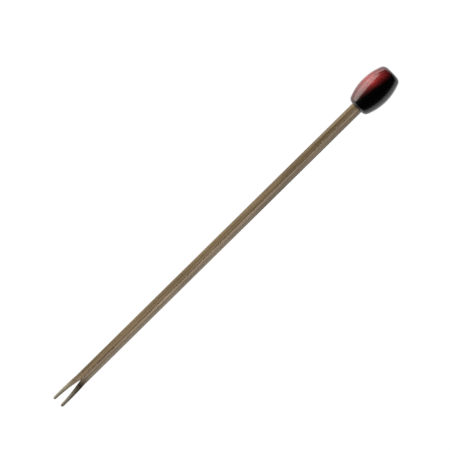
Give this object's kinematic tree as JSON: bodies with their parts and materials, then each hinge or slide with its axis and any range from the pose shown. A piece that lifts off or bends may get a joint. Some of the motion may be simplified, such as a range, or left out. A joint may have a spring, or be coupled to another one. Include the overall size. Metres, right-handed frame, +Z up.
{
  "type": "pair of straight knitting needles",
  "caption": "Two slender straight wooden needles with tapered points, side by side, their plain ends held in one glossy barrel-shaped head.",
  "frame": {"origin": "on the resting surface, under the middle of the pair's length and width", "axes": "+X along the needles from the points to the head, +Y from the right needle to the left needle, +Z up"},
  "size_m": [0.25, 0.0174, 0.0174],
  "materials": {
    "head_lacquer": "high-gloss lacquer",
    "left_wood": "satin",
    "right_wood": "satin"
  },
  "bodies": {
    "head": {"barrel_head": "head_lacquer"},
    "left": {"left_needle": "left_wood"},
    "right": {"right_needle": "right_wood"}
  },
  "joints": [
    {"name": "left_draw", "type": "slide", "parent": "head", "child": "left", "axis": [-0.9995, 0, -0.0323], "range_m": [0, 0.018]},
    {"name": "right_draw", "type": "slide", "parent": "head", "child": "right", "axis": [-0.9995, 0, -0.0323], "range_m": [0, 0.018]}
  ]
}
